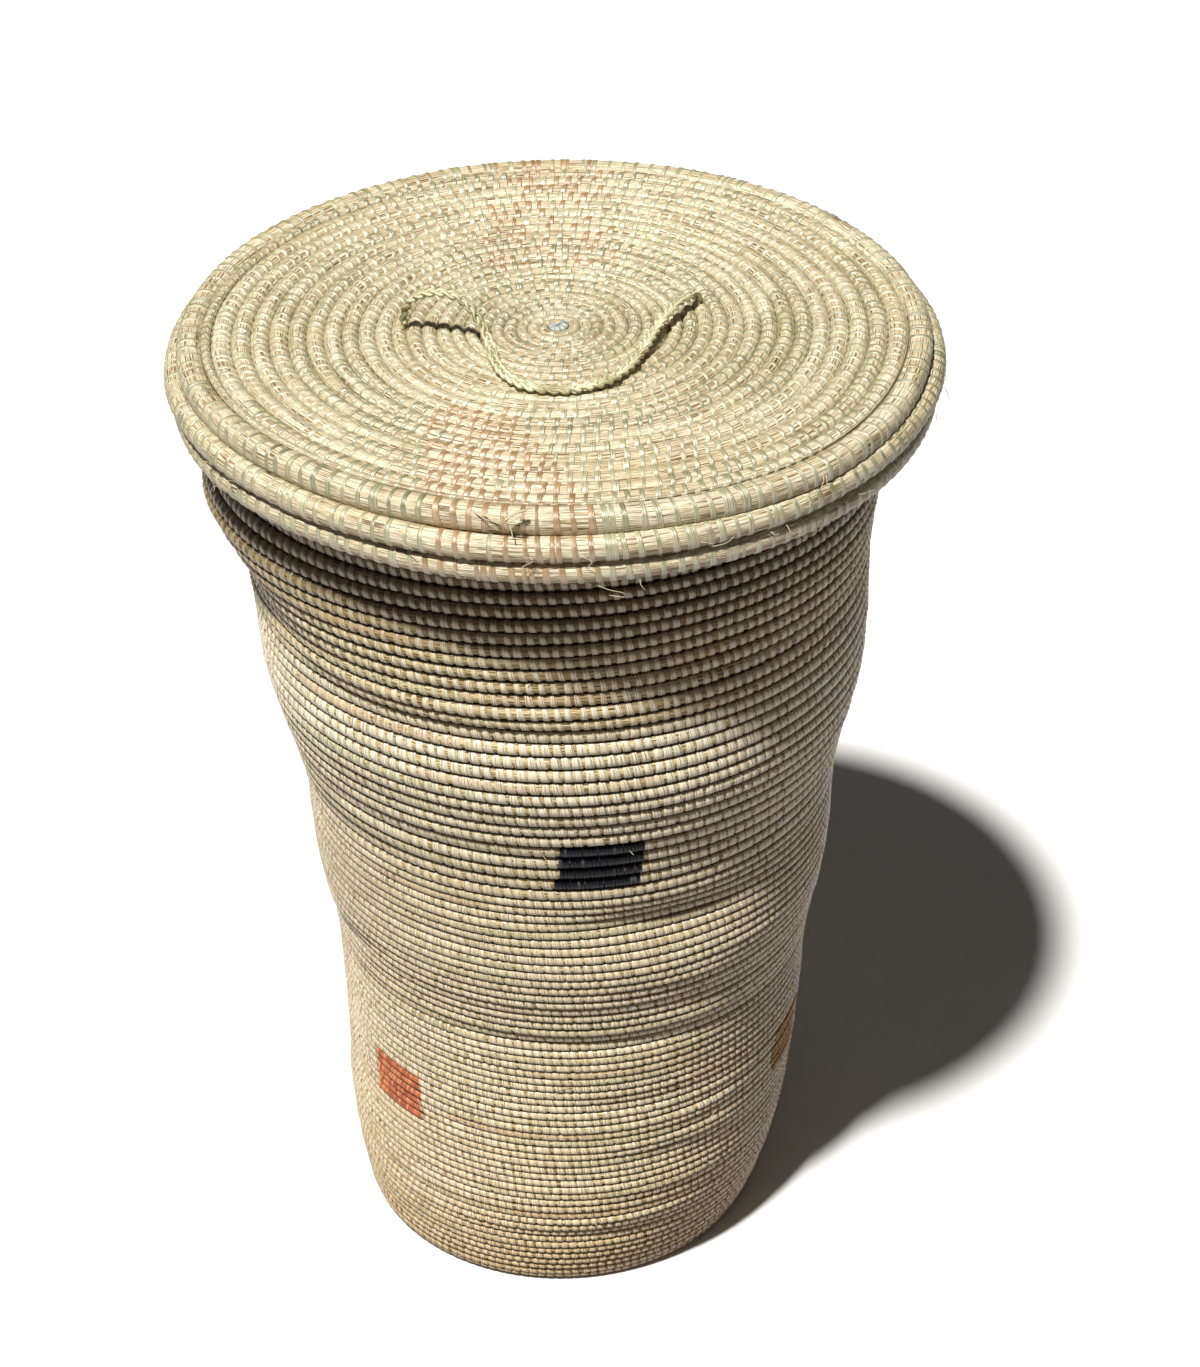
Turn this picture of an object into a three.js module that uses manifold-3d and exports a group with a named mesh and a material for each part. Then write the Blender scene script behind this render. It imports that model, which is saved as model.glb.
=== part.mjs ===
import * as THREE from 'three';
import Module from 'manifold-3d';
import { mergeVertices } from 'three/addons/utils/BufferGeometryUtils.js';

// A coiled grass hamper with a lift-off lid and a rope handle.
// Millimetres, +Z up. The origin is under the middle of the lid, on the standing surface.
// One grass bundle winds from the middle of the base to the mouth, another makes the lid.

// Clearances
const seam = 0.3;                  // between pieces that are sewn or laid against each other
const holeClearance = 0.35;        // round the handle's tails in the lid

// Basket body
const mouthTop = 550;              // standing surface to the top of the mouth coil
const mouthCoilHeight = 9;
const mouthCoilWidth = 9;
const waistRadius = 125.2;         // over the crests, before the taper and the two steps
const wallTaper = 0.05;            // growth of the radius for each millimetre of height
const wallThickness = 6.5;
const baseThickness = 7;
const footCorner = 7.5;            // radius of the bend from the base into the wall
const footDrawIn = 9.9;            // how far the foot is drawn in under the waist
const footHeight = 79;
const lowerStep = { from: 186, to: 251, rise: 7 };
const upperStep = { from: 291, to: 381, rise: 12 };
const mouthSpread = { from: 436, to: 516, rise: 3 };

// The hand-made wall sways from side to side. It bulges on the front left under the lid's rim and is
// drawn in again inside it.
const flare = { from: 456, to: 485, rise: 16, angle: 3.6 };
const flareEnd = { from: 502, to: 522, rise: 8 };
const sway = { depth: 3, start: 61, period: 620 };
const bodyShift = 3;               // the body stands a little to the right of the lid's middle
const footShift = { left: 4.2, height: 136 };

// The mouth and the lid lean towards the front and the left, by so much over the reach
const lean = { from: 402, back: 3.7, right: 1.6, reach: 200 };

// Coils of the wall, counted from the foot to the mouth
const footSeam = 74;
const lowerSeam = 187;
const waistSeam = 299;
const shoulderSeam = 418;
const baseCoils = 8;
const footCoils = 15;
const lowerCoils = 22;
const waistCoils = 20;
const shoulderCoils = 15;
const topCoils = 15;
const fineRelief = 1.3;            // depth of the groove between two fine coils
const coarseRelief = 1.9;
const baseRelief = 1.5;

// Lid
const rimClearance = 1.5;          // of the rim round the wall, where the wall flares most
const rimOverhang = 7;             // of the upper rim coil past the edge coil
const rimDrawIn = 3.6;             // of the lower rim coil under the upper one
const lidCoilHeight = 12.4;        // of the edge coil and of each rim coil
const lidDiscThickness = 9.7;
const lidCoils = 22;
const lidCoilGrowth = 0.3;         // share by which the coils widen from the middle of the lid to its edge
const lidRelief = 2.1;
const lidMiddle = { x: 1.8, y: -4.9 };   // where the lid's coil starts, a little off the lid's centre

// Start knots in the middle of the base and of the lid
const knotRadius = 6;
const knotHeight = 6;

// Rope handle: its route as it lies on the lid, as [x, y, rise of its underside]
const ropeRadius = 3;
const ropeSides = 8;
const ropeSteps = 28;
const ropeRoute = [
  [-77, -4, 0], [-76.1, -4.3, 5.7], [-72.2, -6.6, 13.7], [-63.5, -12, 20.2], [-52.2, -16.4, 21.7],
  [-42.8, -18.8, 16.2], [-36.4, -23.4, 7.7], [-32.5, -33, 1.7], [-28.9, -50.4, 0.1], [-21.9, -64.9, 0.1],
  [-11, -74.2, 0.1], [5, -76.9, 0.1], [20.9, -72.3, 0.1], [32.9, -61.4, 0.1], [42.8, -43.3, 0.7],
  [52.7, -18, 2.9], [63.1, 1.5, 5], [71.2, 13.2, 3.1], [74.6, 16.8, 0],
];
const tailKnotRadius = 7.5;
const tailKnotHeight = 12.5;

// Patches of dyed strip over four or five coils, alternately high and low round the wall
const patchDepth = 1.1;            // of dyed strip under the groove
const patchProud = 3;
const highPatchRise = 8.5;         // over the seam at the waist
const lowPatchRise = 34.5;         // over the seam at the foot
const highPatch = { from: waistSeam + highPatchRise, height: 33, halfWidth: 21 };
const lowPatch = { from: footSeam + lowPatchRise, height: 32.5, halfWidth: 18 };
const patches = [
  { name: 'patch_navy_front', row: highPatch, azimuth: 6.2, colour: 'navy' },
  { name: 'patch_ochre_right', row: lowPatch, azimuth: 68.5, colour: 'ochre' },
  { name: 'patch_terracotta_back', row: highPatch, azimuth: 127, colour: 'terracotta' },
  { name: 'patch_navy_back', row: lowPatch, azimuth: 188, colour: 'navy' },
  { name: 'patch_ochre_back', row: highPatch, azimuth: 248, colour: 'ochre' },
  { name: 'patch_terracotta_left', row: lowPatch, azimuth: 310.4, colour: 'terracotta' },
];

// Facets round the axis
const sides = 18;
const lidSides = 20;
const rimSides = 2 * lidSides;
const innerRingStep = 60;

const wasm = await Module();
wasm.setup();

const finishes = {
  grass: new THREE.MeshStandardMaterial({ color: 0xd2bd8f, roughness: 0.75, metalness: 0 }),
  paleStrip: new THREE.MeshStandardMaterial({ color: 0xb9bfb4, roughness: 0.6, metalness: 0 }),
  rope: new THREE.MeshStandardMaterial({ color: 0xb3aa7c, roughness: 0.8, metalness: 0 }),
  navy: new THREE.MeshStandardMaterial({ color: 0x353f5c, roughness: 0.55, metalness: 0 }),
  terracotta: new THREE.MeshStandardMaterial({ color: 0xa3543b, roughness: 0.55, metalness: 0 }),
  ochre: new THREE.MeshStandardMaterial({ color: 0xb4813a, roughness: 0.55, metalness: 0 }),
};

function smoothRise(height, step) {
  return step.rise * THREE.MathUtils.smoothstep(height, step.from, step.to);
}

// Radius over the crests at a height on the wall
function wallRadius(height) {
  const drawIn = footDrawIn * Math.max(0, 1 - height / footHeight) ** 2;
  const steps = smoothRise(height, lowerStep) + smoothRise(height, upperStep);
  return waistRadius + wallTaper * height - drawIn + steps + smoothRise(height, mouthSpread);
}

const baseEdge = wallRadius(footCorner) - footCorner;
const cornerLength = (Math.PI / 2) * footCorner;
const wallTop = mouthTop - mouthCoilHeight - seam;

// The body's outline is measured along the base, round the corner and up the wall
function alongWall(height) {
  return baseEdge + cornerLength + height - footCorner;
}

function bodyOutline(along) {
  if (along <= baseEdge) {
    return { radius: along, height: 0, outward: 0, downward: 1 };
  }
  if (along < baseEdge + cornerLength) {
    const turn = (along - baseEdge) / footCorner;
    return {
      radius: baseEdge + footCorner * Math.sin(turn),
      height: footCorner * (1 - Math.cos(turn)),
      outward: Math.sin(turn),
      downward: Math.cos(turn),
    };
  }
  const height = footCorner + along - baseEdge - cornerLength;
  return { radius: wallRadius(height), height, outward: 1, downward: 0 };
}

// Sideways place of the body's middle at a height
function middleAt(height) {
  const swayed = sway.depth * Math.sin((2 * Math.PI * (height - sway.start)) / sway.period);
  return bodyShift + swayed - footShift.left * Math.max(0, 1 - height / footShift.height) ** 2;
}

function flareAt(height, angle) {
  const lobe = ((1 + Math.cos(angle - flare.angle)) / 2) ** 4;
  return (smoothRise(height, flare) - smoothRise(height, flareEnd)) * lobe;
}

function leaned([x, y, height], share = 1) {
  return [x, y, height + (share * (lean.back * y + lean.right * x)) / lean.reach];
}

function leanedGeometry(geometry) {
  const points = geometry.attributes.position;
  for (let i = 0; i < points.count; i += 1) {
    points.setXYZ(i, ...leaned([points.getX(i), points.getY(i), points.getZ(i)]));
  }
  return geometry;
}

// A point of the body: along the outline, round the axis, and inwards from the crests
function bodySkin(along, angle, inset) {
  const at = bodyOutline(along);
  const radius = at.radius - at.outward * inset + flareAt(at.height, angle);
  const point = [
    middleAt(at.height) + radius * Math.cos(angle),
    radius * Math.sin(angle),
    at.height + at.downward * inset,
  ];
  return leaned(point, THREE.MathUtils.smoothstep(at.height, lean.from, wallTop));
}

// The lid stands over the mouth coil on its disc, with its rim round the wall
const lidUnderside = mouthTop + seam;
const lidTop = lidUnderside + lidDiscThickness;
const flaredRadius = wallRadius(mouthTop) + flare.rise - flareEnd.rise;
const lidRimRadius = flaredRadius + rimClearance + lidCoilHeight + rimDrawIn;
const lidEdgeRadius = lidRimRadius - rimOverhang;
const lidDiscRadius = lidEdgeRadius - lidCoilHeight - seam;

function lidSkin(along, angle, inset) {
  const shift = 1 - THREE.MathUtils.smoothstep(along, knotRadius + seam, lidDiscRadius);
  const x = lidMiddle.x * shift + along * Math.cos(angle);
  const y = lidMiddle.y * shift + along * Math.sin(angle);
  return leaned([x, y, lidTop - inset]);
}

// The flat facets between the vertices of a skin, for cuts that follow them
function facetedSkin(skin) {
  const step = (2 * Math.PI) / sides;
  return (along, angle, inset) => {
    const facet = Math.floor(angle / step + 1e-9);
    const share = angle / step - facet;
    const first = skin(along, facet * step, inset);
    const second = skin(along, (facet + 1) * step, inset);
    return first.map((value, axis) => value + (second[axis] - value) * share);
  };
}

function closedGeometry(positions, indices) {
  const loose = new THREE.BufferGeometry();
  loose.setAttribute('position', new THREE.Float32BufferAttribute(positions.flat(), 3));
  loose.setIndex(indices);
  const merged = mergeVertices(loose, 1e-4);
  const corners = merged.index.array;
  const kept = [];
  for (let i = 0; i < corners.length; i += 3) {
    const [a, b, c] = corners.slice(i, i + 3);
    if (a !== b && b !== c && c !== a) {
      kept.push(a, b, c);
    }
  }
  merged.setIndex(kept);
  return merged;
}

function addQuad(indices, a, b, c, d, flipped) {
  if (flipped) {
    indices.push(a, c, b, a, d, c);
  } else {
    indices.push(a, b, c, a, c, d);
  }
}

// A stretch of one sewn coil that winds between two level edges. Each turn climbs by one pitch.
// The coil tapers in from nothing over the first turn and tapers out over the last. Its turns may grow.
function coiledPiece({
  skin, from, to, coils, relief, crown, thickness, growth = 0, facets = sides, flipped = false,
}) {
  const positions = [];
  const indices = [];
  const windAt = (turns) => {
    const share = turns / coils;
    return from + (to - from) * share * (1 - growth + growth * share);
  };
  const addLine = (coil, across, rise) => {
    for (let side = 0; side <= facets; side += 1) {
      const turn = side / facets;
      const [first, second] = [windAt(coil - 1 + turn), windAt(coil + turn)];
      const start = THREE.MathUtils.clamp(first, from, to);
      const width = THREE.MathUtils.clamp(second, from, to) - start;
      const inset = relief * (1 - (rise * width) / (second - first));
      positions.push(skin(start + width * across, 2 * Math.PI * turn, inset));
    }
  };
  for (let coil = 0; coil <= coils; coil += 1) {
    addLine(coil, 0, 0);
    crown.forEach(([across, rise]) => addLine(coil, across, rise));
  }
  addLine(coils + 1, 0, 0);
  const outerLines = positions.length / (facets + 1);

  const innerRings = Math.max(1, Math.round((to - from) / innerRingStep));
  for (let ring = 0; ring <= innerRings; ring += 1) {
    const along = from + ((to - from) * ring) / innerRings;
    for (let side = 0; side <= facets; side += 1) {
      positions.push(skin(along, (2 * Math.PI * side) / facets, thickness));
    }
  }

  const row = facets + 1;
  const strip = (lower, upper, outside) => {
    for (let side = 0; side < facets; side += 1) {
      const a = lower * row + side;
      const d = upper * row + side;
      addQuad(indices, a, a + 1, d + 1, d, flipped === outside);
    }
  };
  for (let line = 0; line < outerLines - 1; line += 1) {
    strip(line, line + 1, true);
  }
  for (let ring = 0; ring < innerRings; ring += 1) {
    strip(outerLines + ring, outerLines + ring + 1, false);
  }
  strip(0, outerLines, false);
  strip(outerLines - 1, outerLines + innerRings, true);
  return closedGeometry(positions, indices);
}

// A curved block that lies in a skin, between two edges along it and two angles
function skinBlock(skin, from, to, middle, halfAngle, inset, proud) {
  const step = (2 * Math.PI) / sides;
  const angles = [middle - halfAngle];
  for (let facet = Math.ceil((middle - halfAngle) / step); facet * step < middle + halfAngle; facet += 1) {
    angles.push(facet * step);
  }
  angles.push(middle + halfAngle);
  const rows = 5;
  const positions = [];
  const indices = [];
  const wide = angles.length;
  [inset, -proud].forEach((depth) => {
    for (let line = 0; line < rows; line += 1) {
      const along = from + ((to - from) * line) / (rows - 1);
      angles.forEach((angle) => positions.push(skin(along, angle, depth)));
    }
  });
  const at = ([layer, line, column]) => (layer * rows + line) * wide + column;
  const addFace = (...corners) => addQuad(indices, ...corners.map(at));
  const last = wide - 1;
  const top = rows - 1;
  for (let line = 0; line < top; line += 1) {
    const above = line + 1;
    for (let column = 0; column < last; column += 1) {
      const next = column + 1;
      addFace([1, line, column], [1, line, next], [1, above, next], [1, above, column]);
      addFace([0, line, column], [0, above, column], [0, above, next], [0, line, next]);
    }
    addFace([0, line, 0], [1, line, 0], [1, above, 0], [0, above, 0]);
    addFace([0, line, last], [0, above, last], [1, above, last], [1, line, last]);
  }
  for (let column = 0; column < last; column += 1) {
    const next = column + 1;
    addFace([0, 0, column], [0, 0, next], [1, 0, next], [1, 0, column]);
    addFace([0, top, column], [1, top, column], [1, top, next], [0, top, next]);
  }
  return closedGeometry(positions, indices);
}

function toSolid(geometry) {
  const bare = geometry.clone();
  bare.deleteAttribute('normal');
  bare.deleteAttribute('uv');
  const merged = mergeVertices(bare, 1e-4);
  return new wasm.Manifold(new wasm.Mesh({
    numProp: 3,
    vertProperties: new Float32Array(merged.attributes.position.array),
    triVerts: new Uint32Array(merged.index.array),
  }));
}

function toGeometry(solid) {
  const mesh = solid.getMesh();
  const geometry = new THREE.BufferGeometry();
  geometry.setAttribute('position', new THREE.BufferAttribute(new Float32Array(mesh.vertProperties), 3));
  geometry.setIndex(new THREE.BufferAttribute(new Uint32Array(mesh.triVerts), 1));
  return geometry;
}

const hamper = new THREE.Group();

function addPiece(name, geometry, finish) {
  geometry.computeVertexNormals();
  const mesh = new THREE.Mesh(geometry, finishes[finish]);
  mesh.name = name;
  hamper.add(mesh);
  return mesh;
}

// A ring of one coil with flat faces where it is sewn to its neighbours
function ringCoil(centreRadius, centreHeight, width, height, facets) {
  const corners = 8;
  const reach = 1 / Math.cos(Math.PI / corners);
  const outline = [];
  for (let corner = 0; corner <= corners; corner += 1) {
    const angle = ((corner + 0.5) * 2 * Math.PI) / corners;
    outline.push(new THREE.Vector2(
      centreRadius + (width / 2) * reach * Math.cos(angle),
      centreHeight + (height / 2) * reach * Math.sin(angle),
    ));
  }
  const ring = new THREE.LatheGeometry(outline, facets, Math.PI / 2);
  ring.rotateX(Math.PI / 2);
  return ring;
}

// Turns a lathe, which spins round Y, up to +Z
function standingLathe(points, facets) {
  const outline = points.map(([radius, height]) => new THREE.Vector2(radius, height));
  const turned = new THREE.LatheGeometry(outline, facets);
  turned.rotateX(Math.PI / 2);
  return turned;
}

// Rounded crests for the wall, and flat ones under the base, which stands on them
const roundCrown = [[0.5, 1]];
const flatCrown = [[0.3, 1], [0.7, 1]];

const wallPieces = [
  { name: 'wall_foot', from: baseEdge, to: alongWall(footSeam), coils: footCoils, relief: fineRelief },
  {
    name: 'wall_lower',
    from: alongWall(footSeam),
    to: alongWall(lowerSeam),
    coils: lowerCoils,
    relief: fineRelief,
    patchRow: lowPatch,
  },
  {
    name: 'wall_waist',
    from: alongWall(lowerSeam),
    to: alongWall(waistSeam),
    coils: waistCoils,
    relief: fineRelief,
  },
  {
    name: 'wall_shoulder',
    from: alongWall(waistSeam),
    to: alongWall(shoulderSeam),
    coils: shoulderCoils,
    relief: coarseRelief,
    patchRow: highPatch,
  },
  {
    name: 'wall_top',
    from: alongWall(shoulderSeam),
    to: alongWall(wallTop),
    coils: topCoils,
    relief: coarseRelief,
  },
];

function addBase() {
  addPiece('base_disc', coiledPiece({
    skin: bodySkin,
    from: knotRadius + seam,
    to: baseEdge,
    coils: baseCoils,
    relief: baseRelief,
    crown: flatCrown,
    thickness: baseThickness,
  }), 'grass');
  const knot = standingLathe([
    [0, 0],
    [knotRadius, 0],
    [knotRadius, knotHeight - 1.5],
    [knotRadius * 0.6, knotHeight],
    [0, knotHeight],
  ], 10);
  knot.translate(middleAt(0), 0, 0);
  addPiece('base_start_knot', knot, 'paleStrip');
}

// The angle round the axis of an azimuth counted from the front, -Y, towards the right, +X
function frontAngle(azimuth) {
  return THREE.MathUtils.degToRad(azimuth + 270) % (2 * Math.PI);
}

function addWall() {
  const facets = facetedSkin(bodySkin);
  wallPieces.forEach((piece) => {
    let solid = toSolid(coiledPiece({
      ...piece,
      from: piece.from + seam,
      skin: bodySkin,
      crown: roundCrown,
      thickness: wallThickness,
    }));
    const inset = piece.relief + patchDepth;
    patches.filter(({ row }) => row === piece.patchRow).forEach(({ name, row, azimuth, colour }) => {
      const from = alongWall(row.from);
      const to = from + row.height;
      const middle = frontAngle(azimuth);
      const radius = wallRadius(row.from + row.height / 2);
      const half = Math.atan(row.halfWidth / radius);
      const halfGap = Math.atan((row.halfWidth + seam) / radius);
      const block = toSolid(skinBlock(facets, from, to, middle, half, inset, patchProud));
      const pocket = toSolid(skinBlock(
        facets, from - seam, to + seam, middle, halfGap, inset + seam, patchProud + seam,
      ));
      addPiece(name, toGeometry(solid.intersect(block)), colour);
      solid = solid.subtract(pocket);
    });
    addPiece(piece.name, toGeometry(solid), 'grass');
  });
}

function addMouth() {
  const centreRadius = wallRadius(wallTop) - wallThickness / 2;
  const ring = ringCoil(
    centreRadius,
    mouthTop - mouthCoilHeight / 2,
    mouthCoilWidth,
    mouthCoilHeight,
    sides,
  );
  const points = ring.attributes.position;
  for (let i = 0; i < points.count; i += 1) {
    const angle = Math.atan2(points.getY(i), points.getX(i));
    const out = flareAt(wallTop, angle);
    points.setX(i, points.getX(i) + out * Math.cos(angle) + middleAt(wallTop));
    points.setY(i, points.getY(i) + out * Math.sin(angle));
  }
  addPiece('mouth_coil', leanedGeometry(ring), 'grass');
}

function addLid() {
  let disc = toSolid(coiledPiece({
    skin: lidSkin,
    from: knotRadius + seam,
    to: lidDiscRadius,
    coils: lidCoils,
    growth: lidCoilGrowth,
    relief: lidRelief,
    crown: roundCrown,
    thickness: lidDiscThickness,
    facets: lidSides,
    flipped: true,
  }));
  const holeRadius = ropeRadius + holeClearance;
  const ends = [ropeRoute[0], ropeRoute[ropeRoute.length - 1]];
  ends.forEach(([x, y], index) => {
    const holeLength = lidDiscThickness + 2 * lidRelief;
    const hole = new THREE.CylinderGeometry(holeRadius, holeRadius, holeLength, ropeSides);
    hole.rotateX(Math.PI / 2);
    hole.translate(x, y, lidTop - lidDiscThickness / 2);
    disc = disc.subtract(toSolid(hole));
    const knotTop = lidUnderside - seam;
    const tail = standingLathe([
      [0, knotTop - tailKnotHeight],
      [ropeRadius, knotTop - tailKnotHeight],
      [tailKnotRadius * 0.9, knotTop - tailKnotHeight * 0.75],
      [tailKnotRadius, knotTop - tailKnotHeight * 0.4],
      [tailKnotRadius * 0.8, knotTop],
      [ropeRadius, knotTop],
      [ropeRadius, lidTop],
      [0, lidTop],
    ], ropeSides);
    tail.translate(...leaned([x, y, 0]));
    addPiece(index === 0 ? 'handle_knot_left' : 'handle_knot_right', tail, 'rope');
  });
  addPiece('lid_disc', toGeometry(disc), 'grass');

  const knot = standingLathe([
    [0, lidUnderside],
    [knotRadius, lidUnderside],
    [knotRadius, lidTop - 2],
    [knotRadius * 0.6, lidTop],
    [0, lidTop],
  ], 10);
  knot.translate(...leaned([lidMiddle.x, lidMiddle.y, 0]));
  addPiece('lid_start_knot', knot, 'paleStrip');

  const coilWidth = lidCoilHeight - seam;
  const edgeHeight = lidTop - lidCoilHeight / 2;
  // The upper rim coil nests against the edge coil from below and outside, flat against flat
  const rimHeight = edgeHeight - (Math.SQRT2 * lidCoilHeight - rimOverhang);
  const rings = [
    ['lid_edge_coil', lidEdgeRadius, edgeHeight],
    ['lid_rim_coil_1', lidRimRadius, rimHeight],
    ['lid_rim_coil_2', lidRimRadius - rimDrawIn, rimHeight - lidCoilHeight],
  ];
  rings.forEach(([name, radius, height]) => {
    const ring = ringCoil(radius - lidCoilHeight / 2, height, coilWidth, coilWidth, rimSides);
    addPiece(name, leanedGeometry(ring), 'grass');
  });
}

function addHandle() {
  const resting = lidTop + seam + ropeRadius;
  const route = ropeRoute.map(([x, y, rise]) => new THREE.Vector3(...leaned([x, y, resting + rise])));
  const section = new THREE.Shape();
  for (let side = 0; side < ropeSides; side += 1) {
    const angle = (2 * Math.PI * side) / ropeSides;
    const corner = [ropeRadius * Math.cos(angle), ropeRadius * Math.sin(angle)];
    if (side === 0) {
      section.moveTo(...corner);
    } else {
      section.lineTo(...corner);
    }
  }
  section.closePath();
  const tube = new THREE.ExtrudeGeometry(section, {
    steps: ropeSteps,
    extrudePath: new THREE.CatmullRomCurve3(route),
  });
  let rope = toSolid(tube);
  [route[0], route[route.length - 1]].forEach((end) => {
    const ball = new THREE.SphereGeometry(ropeRadius, ropeSides, 6);
    ball.rotateX(Math.PI / 2);
    ball.translate(end.x, end.y, end.z);
    rope = rope.add(toSolid(ball));
  });
  addPiece('handle_rope', toGeometry(rope), 'rope');
}

addBase();
addWall();
addMouth();
addLid();
addHandle();

export default hamper;
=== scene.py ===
import math

import bmesh
import bpy
import numpy as np
from mathutils import Matrix


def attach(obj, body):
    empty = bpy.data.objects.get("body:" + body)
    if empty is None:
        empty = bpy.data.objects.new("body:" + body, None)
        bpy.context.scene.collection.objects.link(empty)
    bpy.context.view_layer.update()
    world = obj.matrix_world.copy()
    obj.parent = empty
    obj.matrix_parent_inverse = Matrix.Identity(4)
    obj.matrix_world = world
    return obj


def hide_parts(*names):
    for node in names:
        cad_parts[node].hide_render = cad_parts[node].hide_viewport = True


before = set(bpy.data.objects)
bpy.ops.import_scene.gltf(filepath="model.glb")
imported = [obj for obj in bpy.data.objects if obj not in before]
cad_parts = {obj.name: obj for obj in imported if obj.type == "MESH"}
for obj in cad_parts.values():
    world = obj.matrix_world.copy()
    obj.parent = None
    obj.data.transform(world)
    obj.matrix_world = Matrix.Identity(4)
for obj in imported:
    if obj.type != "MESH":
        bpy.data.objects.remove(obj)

scene = bpy.context.scene
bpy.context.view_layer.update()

# Camera
# It looks down on the lid from the front, at a standing person's height over a basket on the floor.


def placed(name, data):
    """A new object in the scene."""
    made = bpy.data.objects.new(name, data)
    scene.collection.objects.link(made)
    return made


camera = placed("camera", bpy.data.cameras.new("camera"))
camera.data.lens = 83.85
camera.data.clip_end = 50
standing_at = (0.003, -1.460, 1.3042)
looking_down, turned_right, tilted = (math.radians(angle) for angle in (33.53, 0.753, -0.358))
camera.matrix_world = (
    Matrix.Translation(standing_at)
    @ Matrix.Rotation(-turned_right, 4, "Z")
    @ Matrix.Rotation(math.pi / 2 - looking_down, 4, "X")
    @ Matrix.Rotation(tilted, 4, "Z")
)
scene.camera = camera
scene.view_settings.view_transform = "Standard"

# Rope handle
# A flat plait of three greenish grass strands, 6 mm wide. It comes up through the left hole, arches,
# lies on the lid in a bend towards the front and goes down through the right hole.
lid_top = 0.560
rise_backwards, rise_rightwards = 0.0185, 0.008


def leaned(points, share=1.0):
    """The mouth and the lid lean a little towards the front and the left."""
    lift = share * (rise_backwards * points[..., 1] + rise_rightwards * points[..., 0])
    return np.stack([points[..., 0], points[..., 1], points[..., 2] + lift], -1)


# Its middle line in mm, with heights from where it lies on the lid
rope_half = 0.0026
rope_route = leaned(np.array([
    [-77, -4, 0], [-76.1, -4.3, 5.7], [-72.2, -6.6, 13.7], [-63.5, -12, 20.2], [-52.2, -16.4, 21.7],
    [-42.8, -18.8, 16.2], [-36.4, -23.4, 7.7], [-32.5, -33, 1.7], [-28.9, -50.4, 0.1],
    [-21.9, -64.9, 0.1], [-11, -74.2, 0.1], [5, -76.9, 0.1], [20.9, -72.3, 0.1], [32.9, -61.4, 0.1],
    [42.8, -43.3, 0.7], [52.7, -18, 2.9], [63.1, 1.5, 5], [71.2, 13.2, 3.1], [74.6, 16.8, 0],
]) / 1000 + [0, 0, lid_top + rope_half])


def eased(points, spacing):
    """One smooth line through the points, with its own points evenly spaced."""
    ends = 2 * points[[0, -1]] - points[[1, -2]]
    padded = np.vstack([ends[:1], points, ends[1:]])
    share = np.linspace(0, 1, 40, endpoint=False)[:, None]
    stretches = [
        0.5 * (2 * b + (c - a) * share + (2 * a - 5 * b + 4 * c - d) * share**2
               + (3 * b - a - 3 * c + d) * share**3)
        for a, b, c, d in zip(padded, padded[1:], padded[2:], padded[3:])
    ]
    line = np.vstack(stretches + [points[-1:]])
    run = np.append(0, np.cumsum(np.linalg.norm(np.diff(line, axis=0), axis=1)))
    even = np.linspace(0, run[-1], int(run[-1] / spacing) + 1)
    return np.stack([np.interp(even, run, line[:, axis]) for axis in range(3)], 1)


def wound(name, steps, sides, place, looped=False):
    """A closed tube of grass. place gives its points from how far along it they are, 0 to 1, and how
    far round it, -0.25 to 0.75 of a turn. Its map "run" has metres along it and turns round it."""
    shape = bmesh.new()
    shape.loops.layers.uv.new("run")
    bmesh.ops.create_grid(shape, x_segments=steps, y_segments=sides, size=0.5, calc_uvs=True)
    mesh = bpy.data.meshes.new(name)
    shape.to_mesh(mesh)
    flat = np.empty(len(mesh.vertices) * 3, np.float32)
    mesh.vertices.foreach_get("co", flat)
    along = np.rint((flat[0::3] + 0.5) * steps) / steps
    around = np.rint((flat[1::3] + 0.5) * sides) / sides - 0.25
    mesh.vertices.foreach_set("co", place(along, around).astype(np.float32).ravel())
    share = np.linspace(0, 1, steps + 1)
    crest = place(share, np.zeros(steps + 1))
    length = np.append(0, np.cumsum(np.linalg.norm(np.diff(crest, axis=0), axis=1)))
    corners = np.empty(len(mesh.loops) * 2, np.float32)
    mesh.uv_layers["run"].data.foreach_get("uv", corners)
    corners[0::2] = np.interp(corners[0::2], share, length)
    corners[1::2] -= 0.25
    mesh.uv_layers["run"].data.foreach_set("uv", corners)
    shape.clear()
    shape.from_mesh(mesh)
    bmesh.ops.remove_doubles(shape, verts=shape.verts, dist=2e-6)
    for face in shape.faces:
        face.smooth = True
    if not looped:
        for cap in bmesh.ops.holes_fill(shape, edges=shape.edges, sides=0)["faces"]:
            cap.smooth = False
    bmesh.ops.recalc_face_normals(shape, faces=shape.faces)
    shape.to_mesh(mesh)
    shape.free()
    return placed(name, mesh)


def meshed(name, shape):
    """A mesh of a finished shape."""
    mesh = bpy.data.meshes.new(name)
    shape.to_mesh(mesh)
    shape.free()
    return mesh


def joined(name, parts):
    """Several loose parts as one piece."""
    shape = bmesh.new()
    for part in parts:
        shape.from_mesh(part.data)
        bpy.data.objects.remove(part)
    return placed(name, meshed(name, shape))


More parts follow.
